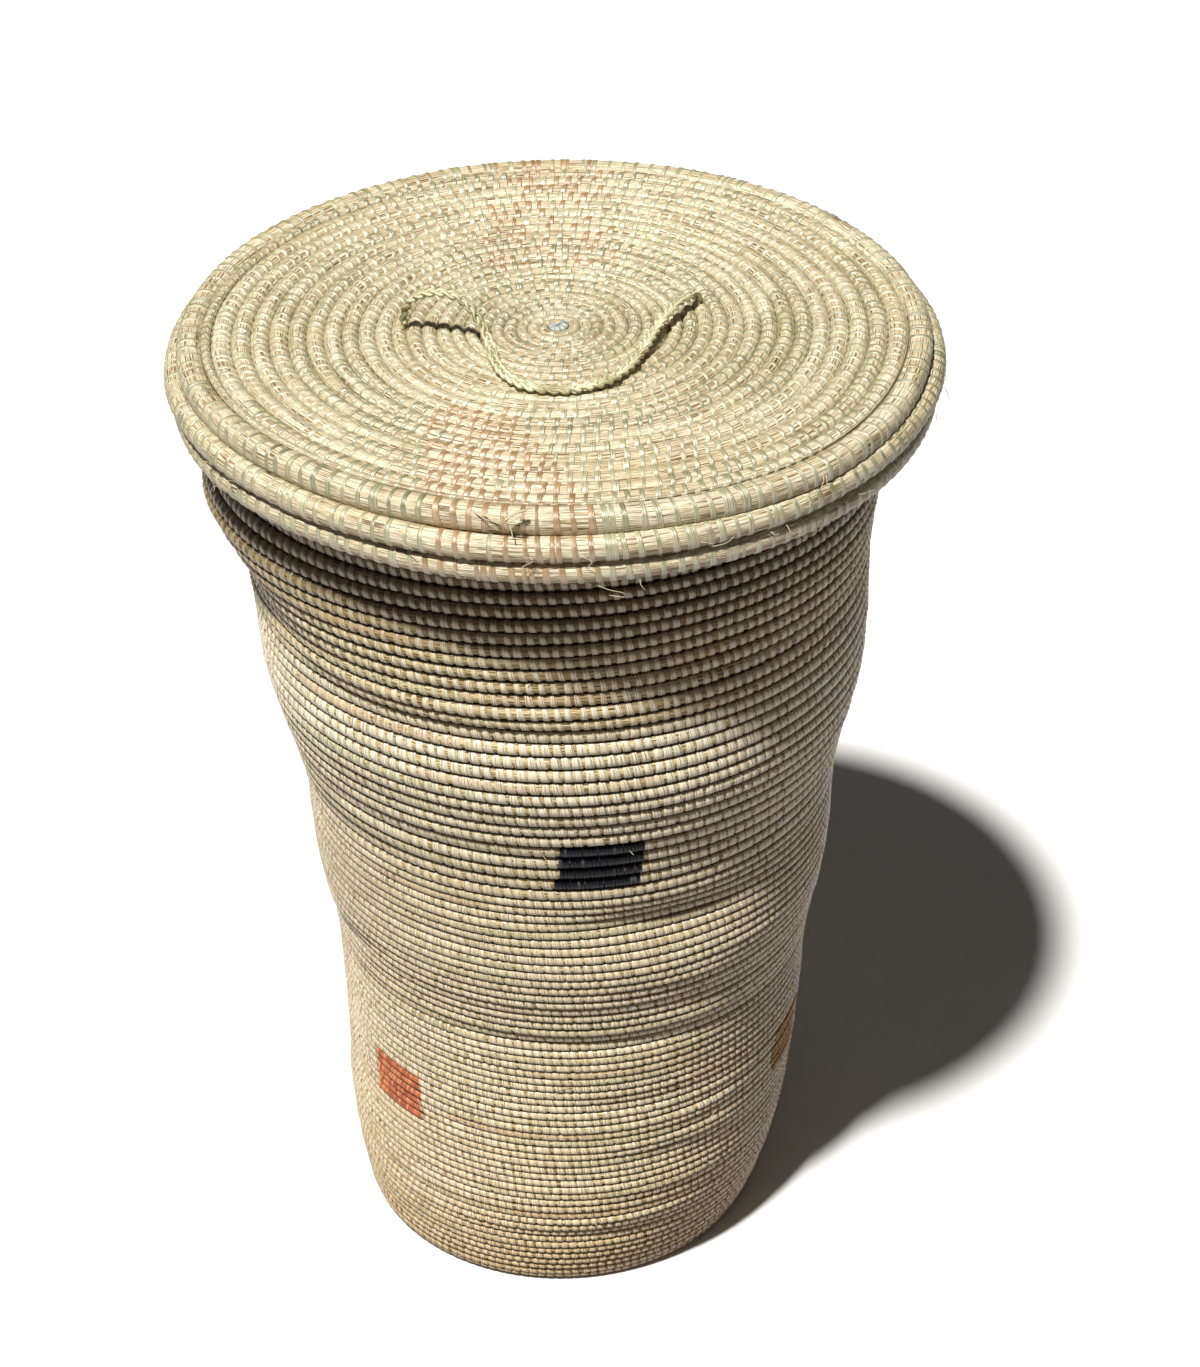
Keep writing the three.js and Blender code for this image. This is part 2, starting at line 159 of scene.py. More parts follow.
def strand(line, side, up, half_width, half_height, sides=8, tapered=False):
    """One strand of grass along a line of points, with its own width and height."""
    share = np.linspace(0, 1, len(line))
    thinning = np.sqrt(np.clip(np.minimum(share, 1 - share) * 12, 0, 1)) if tapered else 1 + 0 * share

    def place(along, around):
        middle, across, over = (
            np.stack([np.interp(along, share, part[:, axis]) for axis in range(3)], 1)
            for part in (line, side, up)
        )
        size = np.interp(along, share, thinning)[:, None]
        angle = 2 * math.pi * around[:, None]
        skin = half_width * np.sin(angle) * across + half_height * np.cos(angle) * over
        return middle + size * skin

    return wound("strand", len(line) - 1, sides, place)


def sideways(line):
    """Across a line and up from it, at each of its points."""
    ahead = np.gradient(line, axis=0)
    ahead /= np.linalg.norm(ahead, axis=1)[:, None]
    side = np.cross(ahead, [0, 0, 1])
    side /= np.maximum(np.linalg.norm(side, axis=1), 1e-9)[:, None]
    return side, np.cross(side, ahead)


plait_length = 0.0175
plait_swing = 0.00172
plait_lift = 0.0009
strand_width = 0.0013
strand_height = 0.00125

rope_line = eased(rope_route, 0.0009)
rope_run = np.append(0, np.cumsum(np.linalg.norm(np.diff(rope_line, axis=0), axis=1)))
rope_side, rope_up = sideways(rope_line)
strands = []
for number in range(3):
    phase = (2 * math.pi * (rope_run / plait_length + number / 3))[:, None]
    swing, lift = plait_swing * np.sin(phase), plait_lift * np.sin(2 * phase)
    line = rope_line + swing * rope_side + lift * rope_up
    strands.append(strand(line, rope_side, rope_up, strand_width, strand_height))
handle = joined("handle_plait", strands)


def colour(red, green, blue):
    """A colour as read off a swatch, 0 to 255."""
    parts = [part / 255 for part in (red, green, blue)]
    return [
        part / 12.92 if part < 0.04045 else ((part + 0.055) / 1.055) ** 2.4 for part in parts
    ] + [1]


def new_finish(name, roughness, specular):
    finish = bpy.data.materials.new(name)
    finish.use_nodes = True
    shader = finish.node_tree.nodes["Principled BSDF"]
    shader.inputs["Roughness"].default_value = roughness
    shader.inputs["Specular IOR Level"].default_value = specular
    return finish, finish.node_tree, shader


def add(tree, kind, inputs=(), **settings):
    """A node with its settings, and with its inputs linked or set."""
    made = tree.nodes.new("ShaderNode" + kind)
    for name, value in settings.items():
        setattr(made, name, value)
    for key, value in dict(inputs).items():
        if isinstance(value, bpy.types.NodeSocket):
            tree.links.new(value, made.inputs[key])
        else:
            made.inputs[key].default_value = value
    return made


def sum_of(tree, first, second, kind="ADD"):
    return add(tree, "Math", {0: first, 1: second}, operation=kind).outputs[0]


def times(tree, first, second):
    return sum_of(tree, first, second, "MULTIPLY")


def ramp(tree, share, stops):
    """Colours along a scale, as [place, (red, green, blue)]."""
    made = add(tree, "ValToRGB", {0: share})
    scale = made.color_ramp.elements
    while len(scale) < len(stops):
        scale.new(0.5)
    for element, (place, swatch) in zip(scale, stops):
        element.position = place
        element.color = colour(*swatch)
    return made.outputs[0]


def fibre_lines(tree, lengthwise, across, detail=3, shift=0):
    """Fine lines along a bundle: a cloud stretched along the map, with so many to the metre and to
    the turn."""
    run = add(tree, "UVMap", uv_map="run")
    stretched = add(tree, "Mapping", {
        "Vector": run.outputs[0], "Location": (shift, shift, 0), "Scale": (lengthwise, across, 1),
    })
    lines = add(tree, "TexNoise", {"Vector": stretched.outputs[0], "Scale": 1, "Detail": detail},
                noise_dimensions="2D")
    return lines.outputs[0]


def bumped(tree, shader, height, strength, distance):
    bump = add(tree, "Bump", {"Height": height, "Strength": strength, "Distance": distance})
    tree.links.new(bump.outputs[0], shader.inputs["Normal"])


def paint(piece, finish):
    piece.data.materials.clear()
    piece.data.materials.append(finish)


rope_finish, tree, shader = new_finish("plaited_grass", 0.55, 0.4)
blades = fibre_lines(tree, 60, 9)
patches_of_green = fibre_lines(tree, 25, 0.4, 1, 3)
tone = sum_of(tree, blades, times(tree, patches_of_green, 0.45))
swatches = ramp(tree, tone, [
    (0.46, (88, 83, 56)), (0.60, (154, 149, 110)), (0.74, (200, 195, 156)), (0.90, (234, 230, 202)),
])
tree.links.new(swatches, shader.inputs["Base Color"])
bumped(tree, shader, blades, 0.7, 0.0006)
paint(handle, rope_finish)
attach(handle, "handle")
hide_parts("handle_rope")

# Body: the grass bundle
# One bundle of grass winds from the middle of the base to the mouth, in 104 turns with no break.
# It is cut into six pieces here, behind the basket, where the solids of the base and wall meet.
foot_corner = 0.0075
corner_length = foot_corner * math.pi / 2
foot_radius, wall_slope = 0.1252, 0.05
foot_drawn_in, foot_height = 0.0099, 0.079
wall_top = 0.5407


def rise(height, start, end, amount):
    """A smooth step between two heights, from 0 up to the amount."""
    share = np.clip((height - start) / (end - start), 0, 1)
    return amount * share * share * (3 - 2 * share)


def wall_radius(height):
    """It widens in three steps: over the foot, over the waist and under the lid."""
    drawn_in = foot_drawn_in * np.maximum(0, 1 - height / foot_height) ** 2
    steps = rise(height, 0.186, 0.251, 0.007) + rise(height, 0.291, 0.381, 0.012)
    return foot_radius + wall_slope * height - drawn_in + steps + rise(height, 0.436, 0.516, 0.003)


# The bulge's middle and its low front side, as angles in radians from the right
bulge_facing, bulge_front = 3.32, 4.19
bulge_out, bulge_in = 0.0156, 0.0105


def flared(height, angle):
    """The bulge on the left, drawn in again inside the lid's rim. It starts lower at the front."""
    lobe = ((1 + np.cos(angle - bulge_facing)) / 2) ** 3.7
    ahead = ((1 + np.cos(angle - bulge_front)) / 2) ** 6
    out = rise(height, 0.470 - 0.064 * ahead, 0.487, bulge_out)
    return (out - rise(height, 0.482, 0.510, bulge_in)) * lobe


body_shift, sway, sway_height = 0.003, 0.003, 0.620
foot_shift = 0.0042


def body_middle(height):
    """The wall sways from side to side."""
    foot = foot_shift * np.maximum(0, 1 - height / 0.136) ** 2
    return body_shift + sway * np.sin(2 * math.pi * (height - 0.061) / sway_height) - foot


base_edge = float(wall_radius(foot_corner)) - foot_corner

# Dents and bulges that hands left in the wall: azimuth from the front, height, half width in degrees,
# half height, depth outwards, and how far the dent climbs for each degree
dents = [
    (-14, 0.4260, 38, 0.0110, 0.0016, 0), (-12, 0.4125, 38, 0.0070, -0.0021, 0),
    (26, 0.4600, 16, 0.0260, -0.0015, 0), (-8, 0.3780, 46, 0.0160, 0.0013, 0),
    (19, 0.2740, 22, 0.0140, -0.0034, 0), (-30, 0.2620, 14, 0.0060, -0.0008, 0),
    (22, 0.2800, 20, 0.0070, -0.0026, 0), (-34, 0.3330, 30, 0.0045, -0.0010, 0),
    (-50, 0.3080, 15, 0.0070, -0.0009, 0), (-36, 0.3240, 34, 0.0060, 0.0008, 0),
    (4, 0.1905, 36, 0.0055, -0.0020, -0.00004), (32, 0.2020, 12, 0.0040, 0.0011, 0),
    (-64, 0.2160, 18, 0.0070, -0.0013, 0.0006), (-60, 0.1880, 14, 0.0050, -0.0009, 0),
    (12, 0.1430, 18, 0.0070, -0.0011, 0), (22, 0.1020, 16, 0.0060, -0.0010, 0),
    (12, 0.0400, 30, 0.0060, -0.0012, 0), (28, 0.2350, 12, 0.0040, 0.0009, 0),
    (34, 0.1250, 9, 0.0038, 0.0010, 0), (35, 0.1080, 12, 0.0038, 0.0009, 0),
    (26, 0.0750, 16, 0.0036, 0.0010, 0), (15, 0.0540, 18, 0.0036, 0.0009, 0),
]
chance = np.random.default_rng(41)
for number in range(90):
    azimuth = chance.uniform(-180, 180)
    depth = chance.uniform(0.0004, 0.0011) * (0.5 if -85 < azimuth < 45 else 1)
    depth *= chance.choice([-1, 1])
    dents.append((azimuth, chance.uniform(0.040, 0.496), chance.uniform(12, 38),
                  chance.uniform(0.005, 0.014), depth, chance.uniform(-0.0002, 0.0002)))


def dented(height, angle):
    facing = np.degrees(angle) + 90
    total = np.zeros_like(height)
    for azimuth, level, wide, tall, depth, climb in dents:
        away = (facing - azimuth + 180) % 360 - 180
        total += depth * np.exp(-(away / wide) ** 2 - ((height - level - climb * away) / tall) ** 2)
    return total * rise(height, 0.010, 0.035, 1) * (1 - rise(height, 0.494, 0.518, 1))


def body_skin(along, angle, inset):
    """A point of the body: along its outline from the middle of the base, round it, and inwards."""
    bend = np.clip((along - base_edge) / foot_corner, 0, math.pi / 2)
    height = foot_corner * (1 - np.cos(bend)) + np.maximum(0, along - base_edge - corner_length)
    low = np.minimum(along, base_edge) + foot_corner * np.sin(bend)
    radius = np.where(height > foot_corner, wall_radius(height), low)
    outward, downward = np.sin(bend), np.cos(bend)
    radius = radius + flared(height, angle) + outward * (dented(height, angle) - inset)
    rightwards = body_middle(height) + radius * np.cos(angle)
    points = np.stack([rightwards, radius * np.sin(angle), height + downward * inset], -1)
    return leaned(points, rise(height, 0.402, wall_top, 1))


# Rounds of the coil, counted as turns, and where on the outline they lie
wall_start = base_edge + corner_length - foot_corner
round_marks = [0, 17, 32, 54, 74, 79, 89, 104]
round_places = [0, base_edge] + [
    wall_start + height for height in (0.074, 0.187, 0.3, 0.3408, 0.418, wall_top)
]
first_turn, last_turn = 0.05, round_marks[-1]
groove_waver = 0.00028


def wavering(turn, seed, to_a_turn):
    """A number from -1 to 1 that wanders along the run."""
    knots = np.random.default_rng(seed).uniform(-1, 1, 4000)
    at = (turn + 3) * to_a_turn
    first = np.floor(at).astype(int)
    share = at - first
    return knots[first] + (knots[first + 1] - knots[first]) * share * share * (3 - 2 * share)


def body_groove(turn):
    """Where on the outline the groove under a round lies."""
    clamped = np.clip(turn, 0, last_turn)
    fade = np.clip(np.minimum(clamped, last_turn - clamped) / 2, 0, 1)
    waver = groove_waver * fade * wavering(clamped, 7, 3.3)
    return np.interp(clamped, round_marks, round_places) + waver


def pressed(around, squareness=2.0):
    """The outline of a bundle that its neighbours press a little square: across it and out of it."""
    sine, cosine = np.sin(2 * math.pi * around), np.cos(2 * math.pi * around)
    reach = (np.abs(sine) ** squareness + np.abs(cosine) ** squareness) ** (-1 / squareness)
    return reach * sine, reach * cosine


strip_rise = 1.09
bundle_depth, coarse_depth = 0.00325, 0.00045
bundle_fill, bundle_waver = 0.95, 0.00032


def on_body(turn, around, swell):
    """A point on the bundle of the body, or over it where swell is more than 1."""
    lower, upper = body_groove(turn), body_groove(turn + 1)
    half = (upper - lower) / 2
    coarse = rise(turn, 73, 75, 1)
    depth = (bundle_depth + coarse_depth * coarse) * np.sqrt(np.clip(half / 0.0023, 0, 1))
    across, out = pressed(around)
    uneven = bundle_waver * wavering(turn, 11, 2.3)
    uneven = uneven * (1 - rise(turn, last_turn - 4, last_turn - 1, 1))
    return body_skin(
        (lower + upper) / 2 + swell * half * bundle_fill * across,
        2 * math.pi * turn,
        depth - swell * depth / strip_rise * out - uneven * rise(turn, 20, 24, 1),
    )


def turn_at(along):
    """The turn behind the basket whose round lies at a place on the outline."""
    return round(float(np.interp(along, round_places, round_marks)) - 0.75) + 0.25


body_stretches = [("base", "base_disc", first_turn, turn_at(base_edge))]
for place_name, node, upper in (
    ("foot", "wall_foot", 0.074), ("lower", "wall_lower", 0.187), ("waist", "wall_waist", 0.299),
    ("shoulder", "wall_shoulder", 0.418), ("top", "wall_top", None),
):
    until = last_turn if upper is None else turn_at(wall_start + upper)
    body_stretches.append((place_name, node, body_stretches[-1][3], until))


def coiled(name, first, last, steps, sides, place, looped=False):
    """The bundle of a coil, from one turn to another."""
    def core(along, around):
        return place(first + along * (last - first), around, 1.0)

    return wound(name, steps, sides, core, looped)


def shaded(tree, swatches, share, stops):
    """The swatches, darkened by colours along a scale."""
    shadow = ramp(tree, share, stops)
    mix = add(tree, "Mix", {0: 1.0, 6: swatches, 7: shadow}, data_type="RGBA", blend_type="MULTIPLY")
    return mix.outputs[2]


tinted_height = 0.55


def grass_finish(name, girth, shade=None, tint_and_painted_shade=None, sides=None, roughness=0.55, specular=0.35):
    """Dry grass stems side by side, with dark gaps between some. girth is how much thicker the bundle
    is than the wall's, shade the painted shade in its grooves, sides the painted shade on its
    underside, and the height tint its colour with height, with painted shade where the lid keeps the
    light off."""
    finish, tree, shader = new_finish(name, roughness, specular)
    blades = fibre_lines(tree, 30, 26 * girth)
    fine_blades = fibre_lines(tree, 80, 68 * girth, 2, 5)
    slow = fibre_lines(tree, 7, 0.8, 2, 9)
    broad = fibre_lines(tree, 16, 7 * girth, 1, 13)
    swatches = ramp(tree, times(tree, sum_of(tree, slow, broad), 0.5), [
        (0.36, (222, 206, 172)), (0.48, (234, 222, 194)), (0.60, (242, 234, 212)),
        (0.75, (248, 244, 228)),
    ])
    swatches = shaded(tree, swatches, blades, [
        (0.34, (128, 106, 74)), (0.41, (222, 210, 186)), (0.47, (255, 255, 253)),
    ])
    swatches = shaded(tree, swatches, fine_blades, [(0.37, (172, 154, 122)), (0.47, (255, 255, 252))])
    across = add(tree, "SeparateXYZ", {0: add(tree, "UVMap", uv_map="run").outputs[0]}).outputs[1]
    turned = times(tree, across, 2 * math.pi)
    # Painted shade towards the grooves, where a round meets its neighbours
    if shade:
        out_of = sum_of(tree, sum_of(tree, turned, 0, "COSINE"), 0, "ABSOLUTE")
        swatches = shaded(tree, swatches, out_of, shade)
    # Painted shade on the underside, where a rim coil sits on the one below
    if sides:
        upward = sum_of(tree, times(tree, sum_of(tree, turned, 0, "SINE"), 0.5), 0.5)
        swatches = shaded(tree, swatches, upward, sides)
    # Colour by height, with painted shade high on the wall under the lid
    if tint_and_painted_shade:
        height = add(tree, "SeparateXYZ", {0: add(tree, "TexCoord").outputs["Object"]}).outputs[2]
        swatches = shaded(tree, swatches, times(tree, height, 1 / tinted_height), tint_and_painted_shade)
    tree.links.new(swatches, shader.inputs["Base Color"])
    ribs = sum_of(tree, blades, times(tree, fine_blades, 0.5))
    bumped(tree, shader, ribs, 0.8, 0.0008)
    return finish


# Painted shade in the grooves between the rounds, darkest where a round meets the next
wall_shade = [(0.22, (30, 25, 18)), (0.46, (128, 117, 98)), (0.68, (255, 255, 255))]
# The grass is yellower at the foot, and brown painted shade lies high on the wall, where the lid keeps
# the light off it
grass = grass_finish("wall_grass", 1, wall_shade, [
    (0.0, (232, 206, 164)), (0.14, (238, 226, 202)), (0.76, (242, 234, 218)), (0.83, (236, 224, 202)),
    (0.88, (158, 141, 113)), (0.98, (126, 109, 85)),
])
for place_name, node, first, last in body_stretches:
    # Fewer faces under the basket, where little is seen
    steps = int((last - first) * (96 if place_name == "base" else 144))
    piece = coiled(f"{place_name}_coils", first, last, steps, 12, on_body)
    paint(piece, grass)
    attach(piece, "basket")
    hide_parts(node)

# Body: the dyed patches
# Six patches of dyed strip, wrapped close over four to six rounds: navy, ochre and terracotta in
# turn, high and low round the wall. They take the place of the pale strip there.

# Lowest and highest height, and half the width
high_patch = (0.3075, 0.3405, 0.021)
low_patch = (0.1085, 0.1410, 0.018)
# Name, dye, azimuth, size, and by how many mm each round's start and end lies off the patch's sides
patches = [
    ("navy_front", "navy", 6.2, high_patch, (-2.6, 0.2, -0.4, 0.3), (-1.6, -0.6, 0.0, 0.8)),
    ("ochre_right", "ochre", 68.5, low_patch,
     (0.6, -0.4, 0.2, -0.8, 0.5, 0), (0.3, -0.5, 0.6, 0, -0.4, 0.7)),
    ("terracotta_back", "terracotta", 127, high_patch,
     (0.4, -0.6, 0.8, -0.2), (0.6, -0.4, 0.5, -1.0)),
    ("navy_back", "navy", 188, low_patch,
     (-0.8, 0.5, 0, 0.7, -0.4, 0.2), (0.5, 0, -0.7, 0.4, 0.6, -0.2)),
    ("ochre_back", "ochre", 248, high_patch, (-0.5, 0.3, 0.9, -0.3), (0.8, 0, -0.6, 0.4)),
    ("terracotta_left", "terracotta", 310.4, low_patch,
     (-0.4, 0.5, -0.2, 0.7, 0.2, -0.6), (0.2, -0.6, 0.4, 0.8, -0.3, 0.5)),
]


def round_middle(turn):
    """Where on the outline the middle of a round lies."""
    return (body_groove(turn) + body_groove(turn + 1)) / 2


def body_reach(turn):
    """Distance of a round from the axis."""
    along = round_middle(turn)
    height = np.maximum(0, along - base_edge - corner_length) + foot_corner
    return np.where(along < base_edge + foot_corner, np.maximum(along, 0.002), wall_radius(height))


def strip_ring(name, stations, section):
    """One wrap of strip round a bundle of radius 1: [across, out] corners spun into a closed ring."""
    shape = bmesh.new()
    corners = [shape.verts.new((out, across, 0)) for across, out in section]
    edges = [shape.edges.new((corners[i - 1], corners[i])) for i in range(len(corners))]
    bmesh.ops.spin(shape, geom=corners + edges, cent=(0, 0, 0), axis=(0, 1, 0), angle=2 * math.pi,
                   steps=stations, use_merge=True, use_duplicate=False)
    bmesh.ops.recalc_face_normals(shape, faces=shape.faces)
    for face in shape.faces:
        face.smooth = abs(face.normal.y) < 0.7
    return meshed(name, shape)


# Where the foot of a strip is, in degrees round the bundle, how far that reaches, and how much wider
# the strip is there
strip_foot, foot_reach, foot_widening = -72, 32, 0.16


def sewn(name, ring, turns, widths, leans, tones, place, reach, bite=0.0):
    """Wraps of strip over a bundle, one ring for each, bent onto the round at its turn. They carry
    their tone, and how far across the strip, out of the groove and up each point is."""
    piece = placed(name, ring.copy())
    flat = np.empty(len(ring.vertices) * 3, np.float32)
    ring.vertices.foreach_get("co", flat)
    across, around = flat[1::3], np.arctan2(flat[2::3], flat[0::3])
    out = np.hypot(flat[0::3], flat[2::3])
    copies = piece.modifiers.new("copies", "ARRAY")
    copies.count = len(turns)
    copies.use_relative_offset = False
    graph = bpy.context.evaluated_depsgraph_get()
    wraps = bpy.data.meshes.new_from_object(piece.evaluated_get(graph))
    piece.modifiers.clear()
    piece.data = wraps
    turns, widths, leans, tones = (
        np.asarray(part)[:, None] for part in (turns, widths, leans, tones)
    )
    shift = across * widths / 2 * (1 - foot_widening * np.sin(around)) - leans / 2 * np.sin(around)
    turn = turns + shift / (2 * math.pi * reach(turns))
    bitten = bite * np.exp(-((np.degrees(around) - strip_foot) / foot_reach) ** 2)
    swell = out + (out > 1) * bitten + 0 * turn
    round_it = np.broadcast_to(around / (2 * math.pi), turn.shape)
    points = place(turn.ravel(), round_it.ravel(), swell.ravel())
    wraps.vertices.foreach_set("co", points.astype(np.float32).ravel())
    out_of, upward = np.abs(np.cos(around)) + 0 * turn, np.sin(around) / 2 + 0.5 + 0 * turn
    for label, values in (
        ("across", across + 0 * turn), ("tone", tones + 0 * turn),
        ("out_of", out_of), ("upward", upward),
    ):
        kept = wraps.attributes.new(label, "FLOAT", "POINT")
        kept.data.foreach_set("value", values.astype(np.float32).ravel())
    shape = bmesh.new()
    shape.from_mesh(wraps)
    bmesh.ops.recalc_face_normals(shape, faces=shape.faces)
    shape.to_mesh(wraps)
    shape.free()
    return piece


def strip_finish(name, swatches, roughness, specular, lines, shade=None, tint_and_painted_shade=None, sides=None,
                 gloss=1.5, strands=1.8, grain=0.5):
    """Split palm strip: a few fine strands side by side, with a satin face. tone picks one of its
    swatches, lines are how dark and pale the strands are, and gloss and grain how they catch light."""
    finish, tree, shader = new_finish(name, roughness, specular)
    shader.inputs["IOR"].default_value = gloss
    tone = add(tree, "Attribute", attribute_name="tone").outputs["Fac"]
    across = add(tree, "Attribute", attribute_name="across").outputs["Fac"]
    spread = sum_of(tree, times(tree, across, strands), times(tree, tone, 57))
    lengths = add(tree, "TexNoise", {"W": spread, "Scale": 1, "Detail": 2}, noise_dimensions="1D")
    split = lengths.outputs[0]
    place = add(tree, "TexCoord").outputs["Object"]
    mottle = add(tree, "TexNoise", {"Vector": place, "Scale": 90, "Detail": 2}).outputs[0]
    dark, pale = (int(255 * part) for part in lines)
    worn = sum_of(tree, split, times(tree, mottle, 0.3))
    painted = shaded(tree, ramp(tree, tone, swatches), worn, [
        (0.46, (dark, int(dark * 0.95), int(dark * 0.84))),
        (0.68, (pale, pale, int(pale * 0.985))),
    ])
    # Painted shade towards the grooves
    if shade:
        out_of = add(tree, "Attribute", attribute_name="out_of").outputs["Fac"]
        painted = shaded(tree, painted, out_of, shade)
    # Painted shade on the underside of the rim coils
    if sides:
        upward = add(tree, "Attribute", attribute_name="upward").outputs["Fac"]
        painted = shaded(tree, painted, upward, sides)
    # Colour by height, with painted shade high on the wall under the lid
    if tint_and_painted_shade:
        height = add(tree, "SeparateXYZ", {0: place}).outputs[2]
        painted = shaded(tree, painted, times(tree, height, 1 / tinted_height), tint_and_painted_shade)
    tree.links.new(painted, shader.inputs["Base Color"])
    rough = add(tree, "MapRange", {
        0: mottle, 1: 0.3, 2: 0.7, 3: roughness - 0.06, 4: roughness + 0.12,
    })
    tree.links.new(rough.outputs[0], shader.inputs["Roughness"])
    bumped(tree, shader, split, grain, 0.0004)
    return finish


# Each dye takes the painted shade of the grooves too
dyed = {
    "navy": strip_finish("navy_strip", [
        (0.0, (3, 5, 14)), (0.60, (6, 9, 25)), (0.91, (13, 17, 39)), (0.94, (78, 80, 92)),
    ], 0.36, 0.16, (0.6, 1.0), wall_shade),
    "terracotta": strip_finish("terracotta_strip", [
        (0.0, (168, 86, 56)), (0.5, (206, 118, 80)), (0.9, (226, 148, 106)),
    ], 0.42, 0.45, (0.7, 1.0), wall_shade),
    "ochre": strip_finish("ochre_strip", [
        (0.0, (166, 114, 24)), (0.5, (200, 146, 38)), (0.9, (216, 166, 64)),
    ], 0.42, 0.45, (0.7, 1.0), wall_shade),
}
wall_ring = strip_ring("wall_wrap", 9, [
    (-1, 0.93), (-0.86, strip_rise), (0.86, strip_rise), (1, 0.93),
])
patch_ring = strip_ring("patch_wrap", 12, [
    (-1, 0.97), (-0.5, strip_rise + 0.02), (0.5, strip_rise + 0.02), (1, 0.97),
])
wrap_spacing, patch_edge = 0.0018, 0.0012
chance = np.random.default_rng(5)
under_patches = []
for patch_name, dye, azimuth, (low, high, half_width), starts, ends in patches:
    facing = (azimuth + 270) / 360 % 1
    lowest, highest = wall_start + low + patch_edge, wall_start + high - patch_edge
    rounds = [
        number + facing for number in range(int(last_turn))
        if lowest < round_middle(np.array(number + facing)) < highest
    ]
    turns = []
    for number, middle in enumerate(rounds):
        girth = 2 * math.pi * float(body_reach(np.array(middle)))
        start = middle + (starts[number % len(starts)] / 1000 - half_width) / girth
        end = middle + (ends[number % len(ends)] / 1000 + half_width) / girth
        under_patches.append((start - patch_edge / girth, end + patch_edge / girth))
        count = int((end - start) * girth / wrap_spacing)
        turns.extend(np.linspace(start, end, count) + chance.normal(0, 0.00012, count) / girth)
    turns = np.array(turns)
    count = len(turns)
    wide = chance.uniform(0.0023, 0.0027, count)
    lean = chance.normal(0.0003, 0.00015, count)
    tones = chance.uniform(0, 1, count) ** 1.2
    piece = sewn(f"patch_wraps_{patch_name}", patch_ring, turns, wide, lean, tones,
                 on_body, body_reach, 0.06)
    paint(piece, dyed[dye])
    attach(piece, "basket")
    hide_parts(f"patch_{patch_name}")

# Body: the sewing strip
# Split palm strip holds each round to the one below. A stitch leans from upper left to lower right,
# and its foot bites into the round under it, beside the stitch there.
# Like the grass, the strip's colour by height ends in painted shade high on the wall, under the lid
wall_strip = strip_finish("wall_strip", [
    (0.0, (222, 202, 178)), (0.22, (232, 216, 196)), (0.36, (238, 228, 209)), (0.52, (244, 236, 221)),
    (0.70, (249, 243, 231)), (0.80, (232, 227, 206)), (1.0, (214, 212, 188)),
], 0.38, 1.0, (0.66, 1.0), wall_shade, [
    (0.0, (232, 212, 180)), (0.10, (246, 234, 216)), (0.28, (243, 235, 222)), (0.50, (230, 221, 208)),
    (0.60, (240, 234, 223)), (0.70, (255, 254, 250)), (0.83, (250, 244, 230)), (0.88, (176, 165, 141)),
    (0.98, (148, 137, 114)),
], gloss=1.6, strands=2.4, grain=0.8)


def strip_tones(count, seed, greenish=0.14, tan=0.05):
    """Each strip sews 10 to 28 stitches before the next is let in, and each has its own colour."""
    choice = np.random.default_rng(seed)
    tones = []
    while len(tones) < count:
        kind = choice.random()
        if kind < greenish:
            middle = choice.uniform(0.82, 0.97)
        elif kind < greenish + tan:
            middle = choice.uniform(0.04, 0.25)
        else:
            middle = choice.uniform(0.38, 0.76)
        tones.extend([middle] * int(choice.integers(10, 29)))
    return np.clip(np.array(tones[:count]) + choice.normal(0, 0.035, count), 0, 1)


def stitch_turns(first, last, spacing, stagger, reach, seed):
    """Turns of the stitches between two turns of a run, each a step aside from the one under it."""
    choice = np.random.default_rng(seed)
    samples = np.linspace(first, last, int((last - first) * 60) + 2)
    to_a_turn = np.floor(2 * math.pi * reach(samples) / spacing) + stagger
    counted = np.append(0, np.cumsum(np.diff(samples) * to_a_turn[1:]))
    turns = np.interp(np.arange(1, int(counted[-1])), counted, samples)
    return turns + choice.normal(0, 0.07, len(turns)) / np.interp(turns, samples, to_a_turn)


# Spacing of the stitches, their step aside as a share of it, and the width of the strip
stitch_plans = {
    "base": (0.0058, 0.30, 0.0040), "foot": (0.0050, 0.14, 0.0039), "lower": (0.0050, 0.16, 0.0042),
    "waist": (0.0052, 0.20, 0.0046), "shoulder": (0.0058, 0.24, 0.0048), "top": (0.0060, 0.24, 0.0036),
}
longest_piece = 2700
for number, (place_name, node, first, last) in enumerate(body_stretches):
    spacing, stagger, strip_width = stitch_plans[place_name]
    until = min(last, last_turn - 0.6)
    turns = stitch_turns(first, until, spacing, stagger, body_reach, 100 + number)
    for start, end in under_patches:
        turns = turns[(turns < start) | (turns > end)]
    count = len(turns)
    chance = np.random.default_rng(200 + number)
    wide = chance.normal(strip_width, 0.0003, count)
    lean = chance.normal(0.0012, 0.0003, count)
    tones = strip_tones(count, 300 + number)
    # The long stretches are two pieces each
    cuts = [0, count] if count < longest_piece else [0, count // 2, count]
    for half, (begin, end) in enumerate(zip(cuts, cuts[1:])):
        piece_name = f"{place_name}_stitches" + ("" if len(cuts) == 2 else f"_{half + 1}")
        piece = sewn(piece_name, wall_ring, turns[begin:end], wide[begin:end], lean[begin:end],
                     tones[begin:end], on_body, body_reach, 0.16)
        paint(piece, wall_strip)
        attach(piece, "basket")

# Start knots
# Both coils start in a knot of pale blue-grey strip, wrapped close over the first turn of the bundle.
# The knot's strip takes the painted shade of the grooves too
knot_strip = strip_finish("knot_strip", [
    (0.0, (150, 160, 166)), (0.5, (188, 195, 194)), (1.0, (222, 224, 214)),
], 0.38, 0.5, (0.6, 1.0), wall_shade)
knot_wraps = 34
chance = np.random.default_rng(17)


